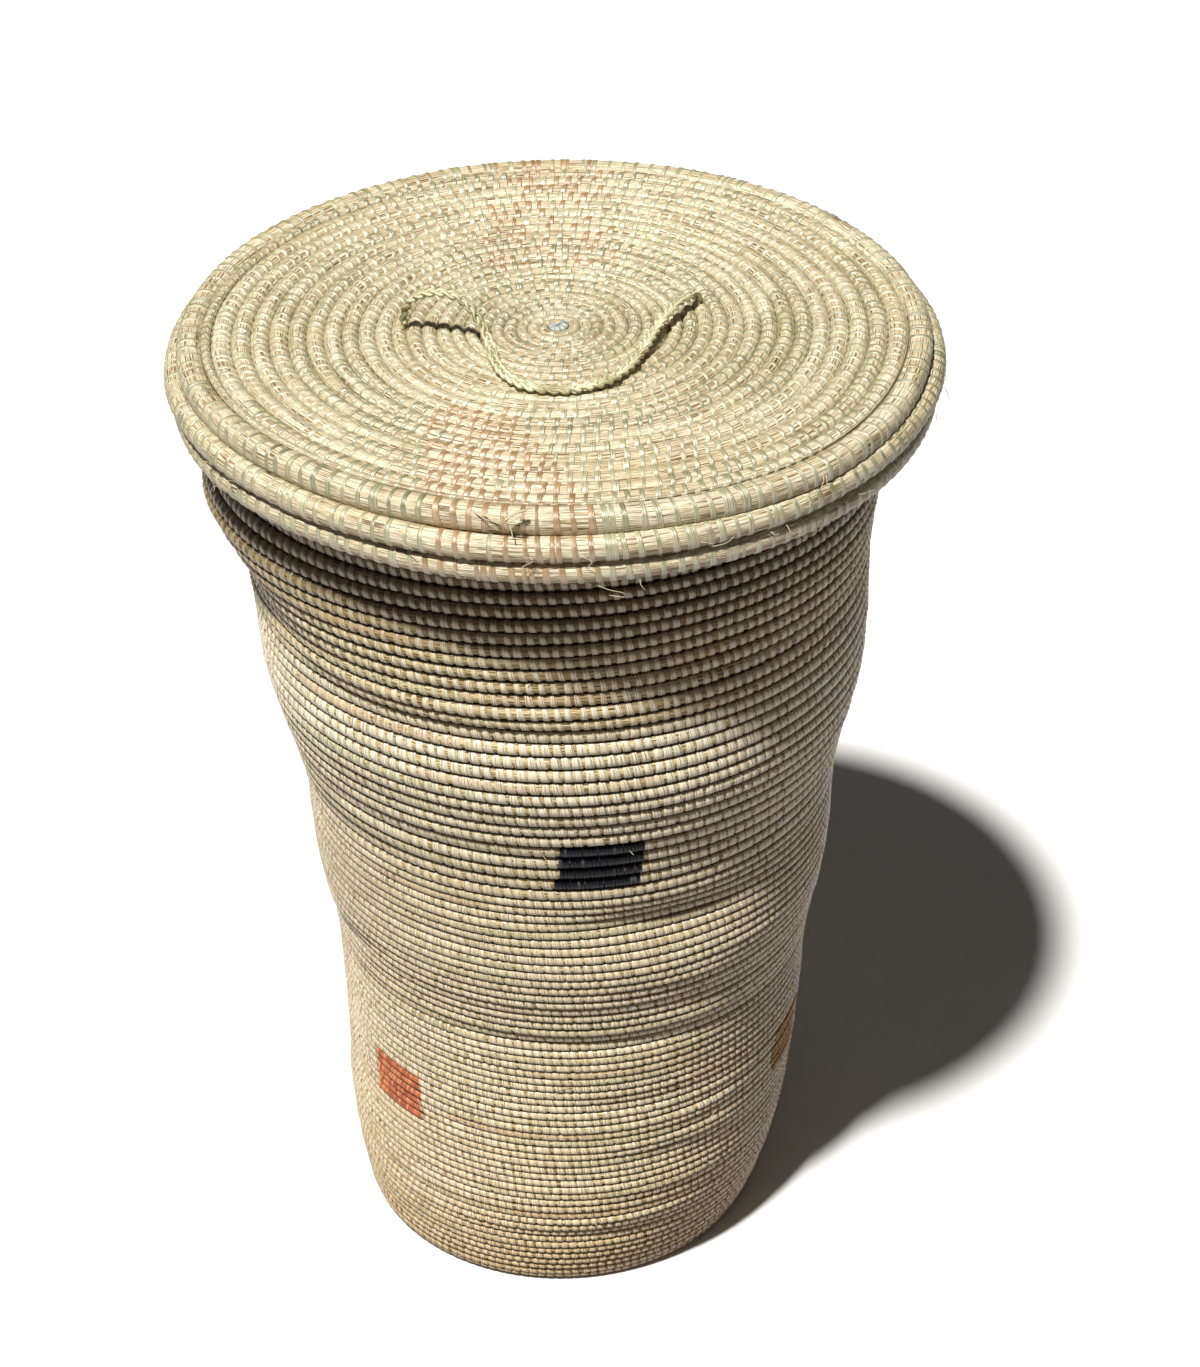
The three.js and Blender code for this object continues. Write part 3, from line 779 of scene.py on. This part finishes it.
def start_knot(name, node, body, place, reach):
    """The first turn of a bundle, and the wraps of strip over it."""
    bundle = coiled(name, -1, 0.16, 48, 10, place)
    turns = np.linspace(-0.9, 0.15, knot_wraps) + chance.normal(0, 0.004, knot_wraps)
    paint(bundle, grass)
    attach(bundle, body)
    wide = chance.uniform(0.0014, 0.0022, knot_wraps)
    tones = chance.uniform(0, 1, knot_wraps)
    wraps = sewn(name + "_wraps", wall_ring, turns, wide, np.full(knot_wraps, 0.0002), tones,
                 place, reach)
    paint(wraps, knot_strip)
    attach(wraps, body)
    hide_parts(node)


start_knot("base_knot", "base_start_knot", "basket", on_body, body_reach)

# Mouth coil
# The last round of the body, a ring of its own on the top edge. The lid rests on it.


def on_ring(radius, height, half, seed, moved, uneven=0.0003, squareness=2.2):
    """Points on a ring of bundle at one height, with its hollows, and moved outwards and up in
    places."""
    def place(turn, around, swell):
        angle = 2 * math.pi * turn
        waver = uneven * (np.sin(angle * 3 + seed) + 0.7 * np.sin(angle * 7 + 2.1 * seed)
                          + 0.5 * np.sin(angle * 16 + 0.7 * seed)) / 1.4
        lift = uneven * (np.sin(angle * 2 + 1.3 * seed) + 0.6 * np.sin(angle * 9 + seed)) / 1.4
        across, out = pressed(around, squareness)
        outwards, upwards = moved(angle)
        reach = radius + waver + swell * half * out + outwards
        level = height + lift + swell * half * across + upwards
        return leaned(np.stack([reach * np.cos(angle), reach * np.sin(angle), level], -1))

    return place


lid_ring = strip_ring("lid_wrap", 10, [(-1, 0.97), (-0.6, 1.09), (0, 1.1), (0.6, 1.09), (1, 0.97)])
rim_ring = strip_ring("rim_wrap", 14, [
    (-1, 0.975), (-0.7, 1.055), (-0.35, 1.025), (0, 1.065), (0.35, 1.025), (0.7, 1.055), (1, 0.975),
])


def sewn_ring(name, node, body, place, radius, spacing, width, seed, bundle_finish, strip,
              tanned=None, steps=216, sides=16, paired=0.0):
    """A ring of bundle and its stitches. paired is the share of them that have a twin close by."""
    bundle = coiled(name, 0, 1, steps, sides, place, looped=True)
    paint(bundle, bundle_finish)
    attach(bundle, body)
    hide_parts(node)
    choice = np.random.default_rng(seed)
    girth = 2 * math.pi * radius
    count = int(girth / spacing)
    turns = (np.arange(count) + choice.normal(0, 0.09, count)) / count
    tones = strip_tones(count, seed + 1)
    if paired:
        twins = choice.random(count) < paired
        turns = np.append(turns, turns[twins] + choice.uniform(0.0022, 0.0034, twins.sum()) / girth)
        tones = np.append(tones, tones[twins])
    if tanned:
        tones = tanned(turns, tones, radius)
    count = len(turns)
    wide = choice.normal(width, width * 0.16, count)
    lean = choice.normal(0.0012, 0.0006, count)
    wraps = sewn(name.replace("coil", "stitches"), rim_ring, turns, wide, lean, tones, place,
                 lambda turn: radius + 0 * turn, 0.04)
    paint(wraps, strip)
    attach(wraps, body)


mouth_radius = float(wall_radius(wall_top))
mouth_height, mouth_half = 0.5455, 0.0042
mouth_spacing, mouth_strip_width = 0.0064, 0.0030
on_mouth = on_ring(mouth_radius - bundle_depth, mouth_height, mouth_half, 2,
                   lambda angle: (flared(wall_top, angle), 0), 0.0001)
sewn_ring("mouth_ring_coil", "mouth_coil", "basket", on_mouth, mouth_radius, mouth_spacing,
          mouth_strip_width, 61, grass, wall_strip, steps=180, sides=12)

# Lid: the flat spiral
# A second bundle, thicker towards the edge, winds from the start knot to the edge coil in 23 rounds.
# The strip over it is tan at the front of the lid and pale or greenish elsewhere.
# Painted shade in the lid's grooves, for its grass and strip, lighter than on the wall
lid_shade = [(0.06, (104, 90, 66)), (0.22, (200, 188, 164)), (0.42, (255, 255, 255))]
lid_grass = grass_finish("lid_grass", 1.6, lid_shade, roughness=0.44, specular=0.9)
lid_strip = strip_finish("lid_strip", [
    (0.0, (178, 138, 88)), (0.22, (194, 158, 108)), (0.36, (190, 180, 136)), (0.52, (202, 194, 154)),
    (0.74, (216, 210, 176)), (0.82, (176, 170, 126)), (1.0, (158, 154, 112)),
], 0.44, 1.0, (0.60, 1.0), lid_shade, gloss=2.1, strands=3.6, grain=0.9)
last_lid_turn = 23
lid_middle, lid_end = 0.0063, 0.1805
lid_half, lid_fill, lid_strip_rise = 0.00485, 0.96, 1.07
lid_groove_waver, lid_waver = 0.0003, 0.00022
lid_sag, sag_room = 0.0004, 0.0003


def lid_groove(turn):
    """How far from the middle the groove inside a round lies."""
    clamped = np.clip(turn, 0, last_lid_turn)
    fade = np.clip(np.minimum(clamped, last_lid_turn - clamped) / 2, 0, 1)
    share = np.maximum(clamped - 1, 0) / (last_lid_turn - 1)
    beyond = (lid_end - lid_middle) * share * (0.7 + 0.3 * share)
    wound_to = lid_middle * np.sqrt(np.minimum(clamped, 1)) + beyond
    return wound_to + lid_groove_waver * fade * wavering(clamped, 23, 3.1)


def lid_reach(turn):
    """Distance of a round from the middle."""
    return np.maximum((lid_groove(turn) + lid_groove(turn + 1)) / 2, 0.002)


def beside(angle, azimuth, wide):
    """From 1 at an azimuth, in degrees from the front, down to 0 away from it."""
    return np.exp(-(((np.degrees(angle) + 90 - azimuth + 180) % 360 - 180) / wide) ** 2)


warp_out, warp_up = 0.0042, 0.0034


def lid_moved(angle, reach=lid_end):
    """The lid has warped: its edge stands up at the front left, and out at the front right."""
    share = rise(reach, 0.10, 0.178, 1)
    return warp_out * share * beside(angle, 40, 24), warp_up * share * beside(angle, -46, 34)


start_rightwards, start_backwards = 0.0012, -0.0040


def on_lid(turn, around, swell):
    """A point on the bundle of the lid, or over it where swell is more than 1."""
    lower, upper = lid_groove(turn), lid_groove(turn + 1)
    half = (upper - lower) / 2
    depth = np.minimum(lid_half, half * 1.12) * np.clip(half / 0.0024, 0, 1) ** 0.5
    across, out = pressed(around, 2.3)
    radius = (lower + upper) / 2 + swell * half * lid_fill * across
    angle = 2 * math.pi * turn
    sag = lid_sag * np.sin(2 * angle + 0.6) * radius / lid_end + lid_waver * wavering(turn, 31, 2.7)
    under = np.where(out > 0, depth, np.maximum(depth, 2 * lid_half - sag_room - depth))
    height = lid_top - sag_room - depth + swell * under / lid_strip_rise * out
    height = height + np.minimum(sag, sag_room)
    off_middle = 1 - rise(radius, lid_middle, lid_end, 1)
    outwards, upwards = lid_moved(angle, radius)
    radius = radius + outwards
    return leaned(np.stack([
        start_rightwards * off_middle + radius * np.cos(angle),
        start_backwards * off_middle + radius * np.sin(angle),
        height + upwards,
    ], -1))


lid_coils = coiled("lid_coils", first_turn, last_lid_turn, int(last_lid_turn * 132), 14, on_lid)
paint(lid_coils, lid_grass)
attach(lid_coils, "lid")
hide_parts("lid_disc")


def front_tan(turns, tones, radius):
    """Over a wedge at the front of the lid, and a paler one behind, the strip is tan."""
    choice = np.random.default_rng(len(turns))
    angle = 2 * math.pi * turns
    right, ahead = radius * np.cos(angle), -radius * np.sin(angle)
    wedge = 0.027 - 0.45 * (0.2 - np.minimum(radius, 0.2))
    front = (ahead > 0.082) & (right > -0.061) & (right < wedge)
    back = (ahead < -0.060) & (np.abs(right + 0.002) < 0.035)
    tanned = (front & (choice.random(len(turns)) < 0.9)) | (back & (choice.random(len(turns)) < 0.5))
    return np.where(tanned, choice.uniform(0.05, 0.26, len(turns)), tones)


lid_spacing, lid_stagger, lid_strip_width = 0.0068, 0.40, 0.0034
lid_stitches = stitch_turns(0.2, last_lid_turn - 0.12, lid_spacing, lid_stagger, lid_reach, 71)
count = len(lid_stitches)
chance = np.random.default_rng(72)
tones = front_tan(lid_stitches, strip_tones(count, 73, 0.3, 0), lid_reach(lid_stitches))
piece = sewn("lid_stitches", lid_ring, lid_stitches, chance.normal(lid_strip_width, 0.0005, count),
             chance.normal(0.0013, 0.0005, count), tones, on_lid, lid_reach, 0.08)
paint(piece, lid_strip)
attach(piece, "lid")

start_knot("lid_knot", "lid_start_knot", "lid", on_lid, lid_reach)

# Lid: the edge coil and the two rim coils
# The last round of the disc, and two more sewn under it that stand out round the mouth of the basket.
# Their stitches are wider apart, often in pairs.
rim_tones = [
    (0.0, (174, 134, 82)), (0.22, (192, 156, 104)), (0.36, (174, 168, 124)), (0.52, (190, 184, 144)),
    (0.74, (206, 202, 168)), (0.82, (164, 160, 118)), (1.0, (146, 144, 104)),
]
# Painted shade on the underside of each rim coil, where it sits on the one below
rim_underside_painted_shade = [(0.01, (48, 38, 26)), (0.08, (196, 180, 152)), (0.18, (255, 255, 255))]
rim_grass = grass_finish("rim_grass", 2.2, sides=rim_underside_painted_shade, roughness=0.44, specular=0.9)
rim_strip = strip_finish("rim_strip", rim_tones, 0.44, 1.0, (0.54, 1.0), sides=rim_underside_painted_shade,
                         gloss=2.0, strands=4.2, grain=0.9)


def rim_moved(angle):
    """The upper rim coil stands up with the edge."""
    return 0, lid_moved(angle)[1]


low_rim_out, low_rim_in = 0.0028, 0.0010


def low_rim_moved(angle):
    """The lowest coil stands out at the front and lies close at the sides."""
    outwards = low_rim_out * ((1 - np.sin(angle)) / 2) ** 2 - low_rim_in
    return outwards, 0.9 * lid_moved(angle)[1]


# Name, node, radius, height, half height, squareness, how it is moved, seeds of its hollows and of
# its stitches, their spacing, and the share in pairs
lid_rings = [
    ("lid_edge_ring_coil", "lid_edge_coil", 0.1862, 0.5538, 0.0064, 2.7, lid_moved,
     4, 81, 0.0079, 0.10),
    ("lid_rim_ring_coil_1", "lid_rim_coil_1", 0.1938, 0.5433, 0.0061, 2.2, rim_moved,
     7, 83, 0.0078, 0.12),
    ("lid_rim_ring_coil_2", "lid_rim_coil_2", 0.1908, 0.5310, 0.0061, 2.2, low_rim_moved,
     9, 87, 0.0078, 0.12),
]
rim_strip_width = 0.0032
for name, node, radius, height, half, squareness, moved, hollows, seed, spacing, paired in lid_rings:
    on_rim = on_ring(radius, height, half, hollows, moved, squareness=squareness)
    sewn_ring(name, node, "lid", on_rim, radius, spacing, rim_strip_width, seed, rim_grass, rim_strip,
              front_tan, paired=paired)

# Loose ends
# Stems that have sprung out of the rim, with a strip that ends in a folded tuft at the front, and
# short whiskers that stand off the rim and the wall. Each is a thin stem of grass fixed at one end.

# Half the width, and points along the stem, in mm
loose_stems = [
    (0.3, [[-40.4, -184.6, 558], [-35.3, -189.2, 556.6], [-24.1, -194.5, 556.6]]),
    (0.3, [[-33.9, -189.4, 557], [-28.3, -192.9, 556.3], [-23.2, -195.6, 556.2]]),
    (0.3, [[-38.1, -187.6, 557.1], [-31.6, -192.4, 555.5], [-24.2, -195.5, 555.6]]),
    (0.9, [[-24.1, -195, 556.4], [-20.9, -195.4, 559.3], [-17.6, -195.2, 561.2],
           [-13.4, -195, 562.4]]),
    (0.5, [[-22.8, -195.6, 556.2], [-18.6, -197.1, 558.6], [-13.9, -197.5, 562.5]]),
    (0.5, [[-23.2, -195.6, 556.2], [-19.5, -197, 556], [-15.4, -197.9, 558]]),
    (0.3, [[-22.3, -195.7, 556.8], [-21, -197.3, 553.5], [-20.1, -200, 549.7]]),
    (0.22, [[18, -196.6, 522.1], [24.5, -197.5, 519.8], [30.6, -198.6, 518.8],
            [31, -198.6, 516.5], [23.6, -198.6, 517.8]]),
    (0.22, [[38.6, -193.6, 523.2], [39.1, -195.1, 520.8], [41.4, -195.6, 517.8]]),
    (0.22, [[66.7, -189.2, 540.3], [72.8, -187.9, 538.3], [71.9, -188.2, 536.4]]),
    (0.22, [[71.9, -187.6, 536.6], [79, -185.9, 537.6], [83.2, -184, 540.2]]),
    (0.22, [[99.6, -171.1, 532.2], [101.8, -173.3, 535.7], [104.4, -170.6, 531.8]]),
    (0.22, [[100.4, -171.8, 535.4], [102.7, -173.9, 534.4], [105.2, -171.2, 533.8]]),
    (0.22, [[108.3, -166.9, 536.2], [110.1, -169.3, 533.8], [111.2, -168.6, 528.9]]),
    (0.22, [[118.1, -162.6, 548.2], [120, -163.7, 545.6], [117.6, -165.4, 543.9],
            [115.2, -165.9, 545.9]]),
    (0.22, [[125.4, -156.5, 557.6], [126.2, -159, 555.3], [124.7, -161.4, 552.4]]),
    (0.22, [[127.4, -154.7, 556.1], [127.8, -157.7, 554], [127.4, -158.1, 550.9]]),
]


def stem(points, half_width):
    """One thin stem through a few points."""
    line = eased(np.array(points), 0.0008)
    side, up = sideways(line)
    return strand(line, side, up, half_width, half_width * 0.6, 5, True)


stem_finish, tree, shader = new_finish("loose_stem", 0.5, 0.4)
swatches = ramp(tree, fibre_lines(tree, 40, 1.5), [(0.35, (176, 158, 116)), (0.65, (236, 230, 204))])
tree.links.new(swatches, shader.inputs["Base Color"])
stems = [stem(np.array(points) / 1000, half_width / 1000) for half_width, points in loose_stems]
rim_whiskers, wall_whiskers = 26, 70
thinnest, thickest = 0.00014, 0.00022
rim_face = 0.1990
chance = np.random.default_rng(91)
for number in range(rim_whiskers):
    at = chance.uniform(0, 2 * math.pi)
    turned, out = chance.normal(0, 0.02, 4), chance.uniform(0.002, 0.006)
    angle = at + np.cumsum(np.append(0, turned[1:]))
    reach = np.linspace(rim_face, rim_face + out, 4)
    level = chance.uniform(0.532, 0.546) + np.linspace(0, chance.uniform(-0.008, 0.004), 4)
    whisker = leaned(np.stack([reach * np.cos(angle), reach * np.sin(angle), level], -1))
    stems.append(stem(whisker, chance.uniform(thinnest, thickest)))
tuft = joined("loose_stems_lid", stems)
paint(tuft, stem_finish)
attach(tuft, "lid")
stems = []
for number in range(wall_whiskers):
    steps = np.linspace(0, 1, 4)
    along = wall_start + chance.uniform(0.03, 0.50) + steps * chance.normal(0, 0.004)
    angle = chance.uniform(0, 2 * math.pi) + steps * chance.normal(0, 0.035)
    out = steps * chance.uniform(0.002, 0.0045) * (1 + 0.3 * steps)
    whisker = body_skin(along, angle, 0.001 - out)
    stems.append(stem(whisker, chance.uniform(thinnest, thickest)))
whiskers = joined("loose_stems_wall", stems)
paint(whiskers, stem_finish)
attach(whiskers, "basket")

# Rope tails and stopper knots
# Each end of the plait goes down through the lid and is tied in an overhand knot under it.
knot_drop, knot_width, knot_height = 0.0187, 0.00185, 0.0032
tail_bottom, tail_top = 0.0236, 0.0004
tail_strand, tail_lay = 0.0014, 0.00125
for side_name, node, spot in (
    ("left", "handle_knot_left", rope_route[0]), ("right", "handle_knot_right", rope_route[-1]),
):
    def knot_line(turn, spot=spot):
        return np.stack([
            spot[0] + knot_width * (np.sin(turn) + 1.6 * np.sin(2 * turn)),
            spot[1] + knot_width * (np.cos(turn) - 1.6 * np.cos(2 * turn)),
            spot[2] - knot_drop - knot_height * np.sin(3 * turn),
        ], -1)

    def knot_place(along, around, knot_line=knot_line):
        turn = 2 * math.pi * along
        ahead = knot_line(turn + 0.01) - knot_line(turn - 0.01)
        ahead /= np.linalg.norm(ahead, axis=1)[:, None]
        side = np.cross(ahead, [0, 0, 1])
        side /= np.linalg.norm(side, axis=1)[:, None]
        up = np.cross(side, ahead)
        angle = 2 * math.pi * around[:, None]
        return knot_line(turn) + rope_half * (np.sin(angle) * side + np.cos(angle) * up)

    knot = wound("knot", 96, 10, knot_place, looped=True)
    below = np.linspace(tail_bottom, tail_top, 26)
    tail_line = np.array([[spot[0], spot[1], spot[2] - lower] for lower in below])
    twist = np.linspace(0, 2.2 * math.pi, 26)[:, None]
    parts = [knot]
    for number in range(3):
        phase = twist + 2 * math.pi * number / 3
        out = np.hstack([np.cos(phase), np.sin(phase), 0 * phase])
        level = np.hstack([-np.sin(phase), np.cos(phase), 0 * phase])
        parts.append(strand(tail_line + tail_lay * out, level, out, tail_strand, tail_strand,
                            8, True))
    tail = joined(f"rope_tail_{side_name}", parts)
    paint(tail, rope_finish)
    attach(tail, "lid")
    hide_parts(node)

# Floor and light
# A plain pale floor, one soft key light high on the front left, and pale light from all round.
floor_shape = bmesh.new()
bmesh.ops.create_grid(floor_shape, x_segments=1, y_segments=1, size=4)
floor_mesh = meshed("floor", floor_shape)
floor_drop = 0.0003
floor_mesh.transform(Matrix.Translation((0, 0, -floor_drop)))
floor = placed("floor", floor_mesh)
floor_finish, tree, shader = new_finish("floor", 0.9, 0.1)
# It looks pale, but throws back little light, so that the lower wall stays dim
rays = add(tree, "LightPath")
seen = sum_of(tree, rays.outputs["Is Camera Ray"], rays.outputs["Is Glossy Ray"], "MAXIMUM")
seen = sum_of(tree, seen, rays.outputs["Is Transmission Ray"], "MAXIMUM")
thrown_back, pale = (0.18, 0.155, 0.12, 1), (0.93, 0.93, 0.93, 1)
mix = add(tree, "Mix", {0: seen, 6: thrown_back, 7: pale}, data_type="RGBA")
tree.links.new(mix.outputs[2], shader.inputs["Base Color"])
paint(floor, floor_finish)

key = placed("key_light", bpy.data.lights.new("key_light", "AREA"))
key.data.shape = "DISK"
key.data.size = 1.0
key.data.energy = 3200
key.data.color = (1.0, 0.975, 0.93)
from_left, from_above, away = math.radians(-29.5), math.radians(65.2), 14.0
aimed_at = (0, 0, 0.35)
key.matrix_world = (
    Matrix.Translation(aimed_at)
    @ Matrix.Rotation(from_left, 4, "Z")
    @ Matrix.Rotation(math.pi / 2 - from_above, 4, "X")
    @ Matrix.Translation((0, 0, away))
)

world = scene.world or bpy.data.worlds.new("world")
scene.world = world
world.use_nodes = True
tree = world.node_tree
tree.nodes.clear()
rays = add(tree, "LightPath")
seen = sum_of(tree, rays.outputs["Is Camera Ray"], rays.outputs["Is Transmission Ray"], "MAXIMUM")
room = add(tree, "Background", {"Color": (1.0, 0.95, 0.88, 1), "Strength": 0.056})
backdrop = add(tree, "Background", {"Color": (1, 1, 1, 1), "Strength": 1.0})
both = add(tree, "MixShader", {0: seen, 1: room.outputs[0], 2: backdrop.outputs[0]})
add(tree, "OutputWorld", {"Surface": both.outputs[0]})
